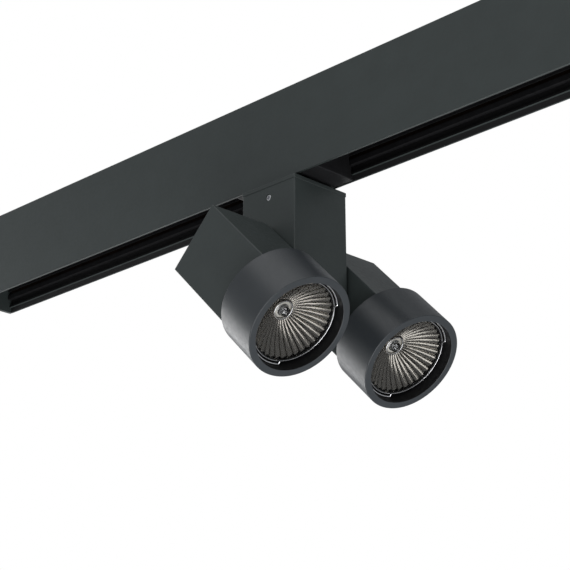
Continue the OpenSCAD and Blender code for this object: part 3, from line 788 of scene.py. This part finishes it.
class SPOTLIGHT_OT_adaptor(bpy.types.Operator):
    """Builds the adaptor's cover plate and its screws"""

    bl_idname = "spotlight.adaptor"
    bl_label = "Adaptor"

    def execute(self, context):
        edge_radius = 0.5 * MM
        softened_piece("adaptor_cover_plate", "adaptor", "adaptor_cover", edge_radius, 3, skip=((2, 1),))
        head, thickness = ADAPTOR_SCREW[2:]
        low, high = box_in("cover_screws")
        axes = Matrix.Translation(((low.x + high.x) / 2, 0, low.z + thickness))
        pitch = (high.x - low.x - 2 * head, 0)
        screws = screw_group("adaptor_cover_screws", pan_head_screw(*ADAPTOR_SCREW), 2, 1, pitch, axes)
        declare(screws, "adaptor", "plated_steel", "cover_screws")
        return {"FINISHED"}


class SPOTLIGHT_OT_column(bpy.types.Operator):
    """Builds the square column with its cap, base, base screws and set screw"""

    bl_idname = "spotlight.column"
    bl_label = "Column"

    def execute(self, context):
        look = context.scene.spotlight_column
        softened_piece("column_tube", "column", "column_shell", look.cap_edge_radius, 3,
                       skip=((2, 0), (2, 1)))
        low, high = box_in("column_cap")
        stem_bore, screw_hole, drill_depth = 5.06 * MM, 1.75 * MM, 4 * MM
        cap = bored_plate(low, high, look.corner_radius, look.cap_edge_radius, stem_bore)
        declare(piece_from("column_cap_plate", cap, "powder_coat"), "column", "powder_coat", "column_cap")
        head = BASE_SCREW[2]
        screws_low, screws_high = box_in("base_screws")
        pitch = screws_high.x - screws_low.x - 2 * head
        low, high = box_in("column_base")
        base = bored_plate(low, high, look.corner_radius, look.cap_edge_radius, 0)
        for x in (-pitch / 2, pitch / 2):
            base = drilled(base, Vector((x, 0, low.z - MM)), screw_hole, drill_depth)
        declare(piece_from("column_base_plate", base, "powder_coat"), "column", "powder_coat", "column_base")
        axes = Matrix.Translation((0, 0, low.z))
        screws = screw_group("column_base_screws", pan_head_screw(*BASE_SCREW), 2, 1, (pitch, 0), axes)
        declare(screws, "column", "plated_steel", "base_screws")
        self.add_set_screw()
        return {"FINISHED"}

    def add_set_screw(self):
        """The hexagon-socket screw that sets how stiffly the column turns."""
        low, high = box_in("swivel_set_screw")
        radius, length = (high.z - low.z) / 2, high.y - low.y
        blank = lathe(rounded_outline([
            (0, 0, 0), (0, radius, 0.45 * MM), (length, radius, 0.3 * MM), (length, 0, 0)], 3), BULB_FACETS)
        corner, socket_depth = 1.2 * MM, 2.3 * MM
        angles = [k * math.pi / 3 for k in range(6)]
        hexagon = [(corner * math.cos(a), corner * math.sin(a)) for a in angles]
        screw = cut(blank, prism(hexagon, -MM, socket_depth))
        axes = Matrix.Translation((0, low.y, (low.z + high.z) / 2)) @ Matrix.Rotation(QUARTER, 4, "Z")
        piece = piece_from("swivel_socket_screw", screw, "spring_wire", axes)
        declare(piece, "column", "plated_steel", "swivel_set_screw")


class SPOTLIGHT_OT_blocks(bpy.types.Operator):
    """Builds each head's square block and its vented rear cover with screws"""

    bl_idname = "spotlight.blocks"
    bl_label = "Head blocks"

    def execute(self, context):
        look = context.scene.spotlight_head
        head, thickness = VENT_SCREW[2:]
        cover_edge = 0.3 * MM
        for side in SIDES:
            axes = own_axes(side)
            body = f"{side}_head"
            softened_piece(f"{side}_head_block", body, f"{side}_block", look.block_edge_radius, 4, axes,
                           skip=((0, 1),))
            softened_piece(f"{side}_vent_cover", body, f"{side}_rear_cover", cover_edge, 2, axes,
                           skip=((0, 1),))
            low, high = box_in(f"{side}_cover_screws", axes)
            pitch = high.y - low.y - 2 * head
            place = axes @ Matrix.Translation((low.x + thickness, 0, 0)) @ Matrix.Rotation(QUARTER, 4, "Y")
            screw = pan_head_screw(*VENT_SCREW)
            screws = screw_group(f"{side}_vent_screws", screw, 2, 2, (pitch, pitch), place)
            declare(screws, body, "plated_steel", f"{side}_cover_screws")
        return {"FINISHED"}


class SPOTLIGHT_OT_barrels(bpy.types.Operator):
    """Turns each head's round barrel with its bore and lamp seat"""

    bl_idname = "spotlight.barrels"
    bl_label = "Barrels"

    def execute(self, context):
        edge = context.scene.spotlight_head.barrel_edge_radius
        neck, lip, wall, floor = 19 * MM, 24 * MM, 3 * MM, 2.5 * MM
        lamp_depth, seat_depth, gap = 3.6 * MM, 2.9 * MM, 0.1 * MM
        for side in SIDES:
            axes = own_axes(side)
            low, high = box_in(f"{side}_barrel", axes)
            outer, skin, inner_end = high.y, high.y - wall, low.x + floor
            seat = box_in(f"{side}_reflector", axes)[1].x - lamp_depth
            bore = gap - box_in(f"{side}_clip_ring", axes)[0].y
            barrel = lathe(rounded_outline([
                (low.x, neck, 0), (low.x, outer, edge), (high.x, outer, edge), (high.x, bore, 0.35 * MM),
                (seat, bore, 0), (seat, lip, 0.3 * MM), (seat - seat_depth, lip, 0),
                (seat - seat_depth, skin, 0), (inner_end, skin, 0), (inner_end, neck, 0)], 5), BARREL_FACETS)
            piece = piece_from(f"{side}_head_barrel", barrel, "barrel_coat", axes)
            # painted shade: the bore's faces are coloured near black
            self.paint_bore_shade(piece.data, axes, bore + gap)
            declare(piece, f"{side}_head", "powder_coat", f"{side}_barrel")
        return {"FINISHED"}

    def paint_bore_shade(self, mesh, axes, radius):
        """Gives the faces inside that radius the near-black painted shade coat, for the shade inside the bore."""
        mesh.materials.append(material_for("painted_shade_coat"))
        back = axes.inverted()
        for face in mesh.polygons:
            centre = back @ face.center
            face.material_index = int(math.hypot(centre.y, centre.z) < radius)


class SPOTLIGHT_OT_reflectors(bpy.types.Operator):
    """Makes each lamp's fluted reflector, its rim in painted shade, bright rings and neck cement"""

    bl_idname = "spotlight.reflectors"
    bl_label = "Reflectors"

    def execute(self, context):
        look = context.scene.spotlight_head
        bore, rim_height, seat_depth = 5.3 * MM, 3.5 * MM, 2.1 * MM
        for side in SIDES:
            axes = own_axes(side)
            low, high = box_in(f"{side}_reflector", axes)
            rim, seat, rim_back = high.y, high.x - seat_depth, high.x - rim_height
            mouth, front = rim - 0.95 * MM, seat - 0.1 * MM
            outline, lip = self.dish_outline(low.x, rim_back, front, bore, mouth)
            dish = lathe(outline, look.flutes * 8)
            close_up(dish)
            piece = grown(f"{side}_fluted_reflector", tree_for("flute_tree"), {
                "Flutes": float(look.flutes), "Depth": look.flute_depth, "Neck radius": bore + 0.7 * MM,
                "Mouth radius": mouth, "Edge plane": front - 0.3 * MM,
                # painted shade: the flutes' front ends take the dark rim material
                "Edge material": material_for("painted_shade_rim"),
                "Material": material_for("reflector_coating")}, dish, axes, 50.0)
            declare(piece, f"{side}_head", "reflector_coating", f"{side}_reflector")
            rim_face, rim_outer, rim_inner = high.x - 0.2 * MM, rim - 0.1 * MM, rim - 0.9 * MM
            foot = mouth + 0.02 * MM
            ring = lathe(rounded_outline([
                (rim_back, foot, 0), (rim_back, rim_outer, 0.3 * MM), (rim_face, rim_outer, 0.3 * MM),
                (rim_face, rim_inner, 0.2 * MM), (seat, rim_inner, 0), (seat, foot, 0)]), GLASS_FACETS)
            # painted shade: the rim ring and its seat are coloured dark
            piece = piece_from(f"{side}_lamp_rim", ring, "painted_shade_rim", axes)
            declare(piece, f"{side}_head", "reflector_coating")
            self.add_rings(side, axes, (
                # painted highlight: a bright wire bead stands in for the highlight on the cover glass's edge
                ("rim_bead", high.x - 0.22 * MM, rim - 0.22 * MM, 0.22 * MM),
                ("neck_ring", lip, bore + 0.35 * MM, 0.42 * MM),
                ("capsule_ring", lip - 0.6 * MM, 3.45 * MM, 0.22 * MM)))
            back, hole, outer = low.x + MM, 3.25 * MM, bore - 0.05 * MM
            cement = lathe(rounded_outline([
                (back, hole, 0), (back, outer, 0), (lip - 1.2 * MM, outer, 0),
                (lip - 0.7 * MM, hole, 0)]), NECK_FACETS)
            piece = piece_from(f"{side}_neck_cement", cement, "ceramic", axes)
            declare(piece, f"{side}_head", "ceramic")
        return {"FINISHED"}

    def dish_outline(self, neck_end, rim_back, front, bore, mouth):
        """Outline of the neck and the parabolic dish, and where the lip round the bore ends."""
        neck, dish_depth, glass, lip_width, lip_height = 8 * MM, 10 * MM, MM, 0.6 * MM, 0.9 * MM
        back = rim_back - dish_depth
        rise = (front - glass - back) / (mouth ** 2 - neck ** 2)
        radii = [neck + (mouth - neck) * i / 24 for i in range(25)]
        outside = [(back + rise * (r * r - neck * neck), r) for r in radii]
        radii = [mouth - (mouth - bore - lip_width) * i / 26 for i in range(27)]
        inside = [(back + glass + rise * (r * r - neck * neck), r) for r in radii]
        foot = inside[-1][0]
        lip, lip_edge = foot + lip_height, 0.28 * MM
        round_bore = rounded_outline([
            (foot, bore + lip_width, 0), (lip, bore + lip_width, lip_edge), (lip, bore, lip_edge),
            (neck_end, bore, 0)], 4)
        return [(neck_end, neck)] + outside + inside[:-1] + [tuple(p) for p in round_bore], lip

    def add_rings(self, side, axes, rings):
        """Bright round beads, each given by its name, place along the beam, radius and thickness."""
        arc = [2 * math.pi * k / 12 for k in range(12)]
        for name, x, radius, thick in rings:
            section = [(x + thick * math.cos(a), radius + thick * math.sin(a)) for a in arc]
            piece = piece_from(f"{side}_{name}", lathe(section, BARREL_FACETS), "spring_wire", axes)
            declare(piece, f"{side}_head", "reflector_coating")


class SPOTLIGHT_OT_lamps(bpy.types.Operator):
    """Makes each lamp's front glass, capsule and filament"""

    bl_idname = "spotlight.lamps"
    bl_label = "Lamp glass and capsule"

    def execute(self, context):
        for side in SIDES:
            axes = own_axes(side)
            body = f"{side}_head"
            low, high = box_in(f"{side}_lamp_glass", axes)
            disc = lathe(rounded_outline([
                (low.x, 0, 0), (low.x, high.y, 0.3 * MM), (high.x, high.y, 0.3 * MM),
                (high.x, 0, 0)]), GLASS_FACETS)
            piece = piece_from(f"{side}_front_glass", disc, "front_glass", axes)
            declare(piece, body, "lamp_glass", f"{side}_lamp_glass")
            low, high = box_in(f"{side}_capsule", axes)
            piece = piece_from(f"{side}_lamp_capsule", self.capsule(low, high), "lamp_glass", axes)
            declare(piece, body, "lamp_glass", f"{side}_capsule")
            points, wire = self.filament(low.x, high.x), 0.14 * MM
            piece = wire_piece(f"{side}_lamp_filament", points, wire, "spring_wire", axes)
            declare(piece, body, "spring_wire")
        return {"FINISHED"}

    def capsule(self, low, high):
        """A thin-walled glass bulb with a pinched tip."""
        outer, tip, wall = high.y - 0.2 * MM, 0.9 * MM, 0.6 * MM
        end = high.x - 1.4 * MM
        outline = rounded_outline([
            (low.x, 0, 0), (low.x, outer, 0.5 * MM), (end, outer, 1.5 * MM), (end, tip, 0.3 * MM),
            (high.x, tip, 0.6 * MM), (high.x, 0, 0), (end - wall, 0, 0),
            (end - wall, outer - wall, 1.2 * MM), (low.x + wall, outer - wall, 0), (low.x + wall, 0, 0)], 6)
        return lathe(outline, BULB_FACETS)

    def filament(self, x0, x1):
        """One wire: up a post, round an axial coil, and down the other post."""
        post, coil_r, turns, per_turn = 1.5 * MM, 0.75 * MM, 11, 12
        start, end = x1 - 12 * MM, x1 - 4 * MM
        points = [(x0 + MM, post, 0), (start - MM, post, 0)]
        for k in range(turns * per_turn + 1):
            angle = 2 * math.pi * k / per_turn
            x = start + (end - start) * k / (turns * per_turn)
            points.append((x, coil_r * math.cos(angle), coil_r * math.sin(angle)))
        points += [(end + 0.6 * MM, 0, 0), (end, -post, 0), (x0 + MM, -post, 0)]
        return points


class SPOTLIGHT_OT_clips(bpy.types.Operator):
    """Bends each barrel's spring clip, with both ends turned in over the lamp's rim"""

    bl_idname = "spotlight.clips"
    bl_label = "Spring clips"

    def execute(self, context):
        start, end, steps, hook = math.radians(39), math.radians(282), 120, 1.9 * MM
        angles = [start + (end - start) * k / steps for k in range(steps + 1)]
        for side in SIDES:
            axes = own_axes(side)
            low, high = box_in(f"{side}_clip_ring", axes)
            wire = (high.x - low.x) / 2
            radius = -low.y - wire
            middle = (low.x + high.x) / 2
            points = [Vector((middle, radius * math.cos(a), radius * math.sin(a))) for a in angles]
            tips = [Vector((middle, 0, 0)) + Vector((0, math.cos(a), math.sin(a))) * (radius - hook)
                    for a in (start, end)]
            points = [tips[0], *points, tips[1]]
            piece = wire_piece(f"{side}_spring_clip", points, wire, "spring_wire", axes)
            declare(piece, f"{side}_head", "spring_wire", f"{side}_clip_ring")
        return {"FINISHED"}


class SPOTLIGHT_OT_stage(bpy.types.Operator):
    """Sets up the plain floor, the soft lights and the camera"""

    bl_idname = "spotlight.stage"
    bl_label = "Stage"

    def execute(self, context):
        look = context.scene.spotlight_stage
        self.add_floor(look)
        self.add_world(context.scene)
        for light in LIGHTS:
            self.add_softbox(*light)
        self.add_camera(context.scene, look.lens)
        context.scene.view_settings.view_transform = "Standard"
        return {"FINISHED"}

    def add_floor(self, look):
        """A plain pale floor under the hanging object."""
        half = 7.0
        bm = bmesh.new()
        bmesh.ops.create_grid(bm, x_segments=8, y_segments=8, size=half)
        bm.transform(Matrix.Translation((0, 0, -look.floor_drop)))
        mesh = mesh_from("floor", bm)
        material, tree, shader = surface("plain_floor", {"Roughness": 0.85})
        shades = tinted(tree, noise(tree, 1.5, 3.0), look.floor_colour, 0.98, 1.02)
        tree.links.new(shades, shader.inputs["Base Color"])
        mesh.materials.append(material)
        link_piece("floor", mesh)

    def add_world(self, scene):
        """A white backdrop for the camera, and softer light on the object."""
        world = bpy.data.worlds.new("studio")
        world.use_nodes = True
        scene.world = world
        tree = world.node_tree
        tree.nodes.clear()
        path = add_node(tree, "ShaderNodeLightPath")
        white = add_node(tree, "ShaderNodeBackground", {"Color": (1, 1, 1, 1), "Strength": 1.0})
        soft = add_node(tree, "ShaderNodeBackground", {"Color": (0.94, 0.97, 1.0, 1), "Strength": 0.34})
        mix = add_node(tree, "ShaderNodeMixShader", {
            0: path.outputs["Is Camera Ray"], 1: soft.outputs[0], 2: white.outputs[0]})
        add_node(tree, "ShaderNodeOutputWorld", {"Surface": mix.outputs[0]})

    def add_softbox(self, name, place, size, power):
        """A rectangular softbox that faces the object's middle."""
        light = bpy.data.lights.new(name, "AREA")
        light.shape = "RECTANGLE"
        light.size, light.size_y = size
        light.energy = power
        lamp = bpy.data.objects.new(name, light)
        middle = (cad_low + cad_high) / 2
        lamp.location = place
        lamp.rotation_euler = (middle - Vector(place)).to_track_quat("-Z", "Y").to_euler()
        lamp.visible_camera = False
        bpy.context.scene.collection.objects.link(lamp)

    def add_camera(self, scene, lens):
        """The camera looks up at the lamp heads from the right."""
        place, yaw, pitch, roll = Vector((0.67424, -0.68417, -0.46492)), 44.924, 19.846, -0.257
        data = bpy.data.cameras.new("camera")
        data.lens = lens
        data.sensor_width = 36.0
        camera = bpy.data.objects.new("camera", data)
        turn = Matrix.Rotation(math.radians(yaw), 4, "Z")
        tip = Matrix.Rotation(math.radians(90 + pitch), 4, "X")
        spin = Matrix.Rotation(math.radians(roll), 4, "Z")
        camera.matrix_world = Matrix.Translation(place) @ turn @ tip @ spin
        scene.collection.objects.link(camera)
        scene.camera = camera


class SPOTLIGHT_PT_panel(bpy.types.Panel):
    """Lists the spotlight's sizes, colours and building steps"""

    bl_idname = "SPOTLIGHT_PT_panel"
    bl_label = "Track Spotlight"
    bl_space_type = "VIEW_3D"
    bl_region_type = "UI"
    bl_category = "Spotlight"

    def draw(self, context):
        for title, owner, shape in LOOKS:
            box = self.layout.box()
            box.label(text=title)
            for key in shape.__annotations__:
                box.prop(getattr(context.scene, owner), key)
        for step in STEPS:
            self.layout.operator(step.bl_idname)


LOOKS = (
    ("Rail", "spotlight_rail", RailLook),
    ("Column", "spotlight_column", ColumnLook),
    ("Heads", "spotlight_head", HeadLook),
    ("Stage", "spotlight_stage", StageLook),
)
STEPS = (
    SPOTLIGHT_OT_finishes, SPOTLIGHT_OT_rail, SPOTLIGHT_OT_adaptor, SPOTLIGHT_OT_column,
    SPOTLIGHT_OT_blocks, SPOTLIGHT_OT_barrels, SPOTLIGHT_OT_reflectors, SPOTLIGHT_OT_lamps,
    SPOTLIGHT_OT_clips, SPOTLIGHT_OT_stage,
)


def register():
    for _, owner, shape in LOOKS:
        bpy.utils.register_class(shape)
        setattr(bpy.types.Scene, owner, PointerProperty(type=shape))
    for step in STEPS:
        bpy.utils.register_class(step)
    bpy.utils.register_class(SPOTLIGHT_PT_panel)


def unregister():
    bpy.utils.unregister_class(SPOTLIGHT_PT_panel)
    for step in reversed(STEPS):
        bpy.utils.unregister_class(step)
    for _, owner, shape in reversed(LOOKS):
        delattr(bpy.types.Scene, owner)
        bpy.utils.unregister_class(shape)


def main():
    """Registers the add-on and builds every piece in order."""
    register()
    for step in STEPS:
        group, name = step.bl_idname.split(".")
        getattr(getattr(bpy.ops, group), name)()


if __name__ == "__main__":
    main()
